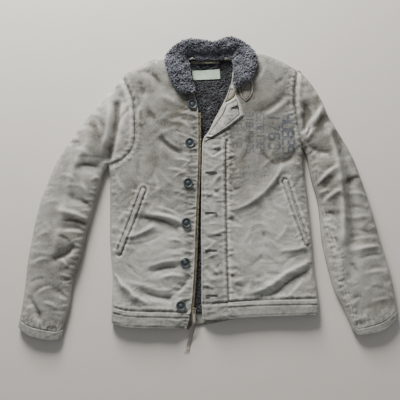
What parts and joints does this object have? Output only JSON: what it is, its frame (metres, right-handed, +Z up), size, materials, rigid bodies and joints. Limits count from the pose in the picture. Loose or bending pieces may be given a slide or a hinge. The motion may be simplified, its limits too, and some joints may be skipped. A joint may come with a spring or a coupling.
{
  "type": "deck jacket",
  "caption": "Hip-length cloth work jacket with a pile collar and lining, laid flat on its back with the front zip and buttons open.",
  "frame": {"origin": "middle of the laid jacket's bounding box, on the surface it lies on", "axes": "+Z up from the surface, +Y from the hem towards the collar, +X towards the wearer's left sleeve"},
  "size_m": [0.894, 0.7505, 0.046],
  "materials": {
    "shell_cloth": "worn ribbed cotton, khaki olive",
    "sleeve_cloth": "worn ribbed cotton, greyer",
    "placket_cloth": "worn ribbed cotton, pale at the edges",
    "facing_cloth": "plain cotton twill",
    "band_cloth": "worn ribbed cotton with rows of stitches",
    "pile": "curly wool-like pile, dark grey",
    "button_plastic": "dark, slightly shiny",
    "zip_tape_cloth": "woven tape, brown",
    "zip_brass": "aged brass",
    "tab_metal": "worn pale metal",
    "thong_leather": "grey, frayed at its end",
    "label_cloth": "pale green woven, bare",
    "loop_cloth": "narrow cotton strip"
  },
  "bodies": {
    "jacket": {"back_panel": "shell_cloth", "right_front": "shell_cloth", "left_front": "shell_cloth", "collar_cloth": "shell_cloth", "back_lining": "pile", "collar_pile": "pile", "back_hem_facing": "facing_cloth", "corner_facing": "facing_cloth", "fly_placket": "placket_cloth", "corner_flap": "placket_cloth", "throat_latch": "placket_cloth", "right_welt": "placket_cloth", "left_welt": "placket_cloth", "right_sleeve_top": "sleeve_cloth", "right_sleeve_under": "sleeve_cloth", "left_sleeve_top": "sleeve_cloth", "left_sleeve_under": "sleeve_cloth", "right_cuff_band": "band_cloth", "left_cuff_band": "band_cloth", "right_hem_band": "band_cloth", "left_hem_band": "band_cloth", "zip_tape": "zip_tape_cloth", "corner_zip_tape": "zip_tape_cloth", "zip_slider": "zip_brass", "button_throat": "button_plastic", "button_1": "button_plastic", "button_2": "button_plastic", "button_3": "button_plastic", "button_4": "button_plastic", "button_5": "button_plastic", "hanger_loop": "loop_cloth", "label": "label_cloth"},
    "pull": {"pull_tab": "tab_metal", "pull_thong": "thong_leather"}
  },
  "joints": [
    {"name": "pull_swing", "type": "hinge", "parent": "jacket", "child": "pull", "pos_m": [-0.0355, -0.2835, 0.01646], "axis": [-1, 0, 0], "range_deg": [0, 110]}
  ]
}
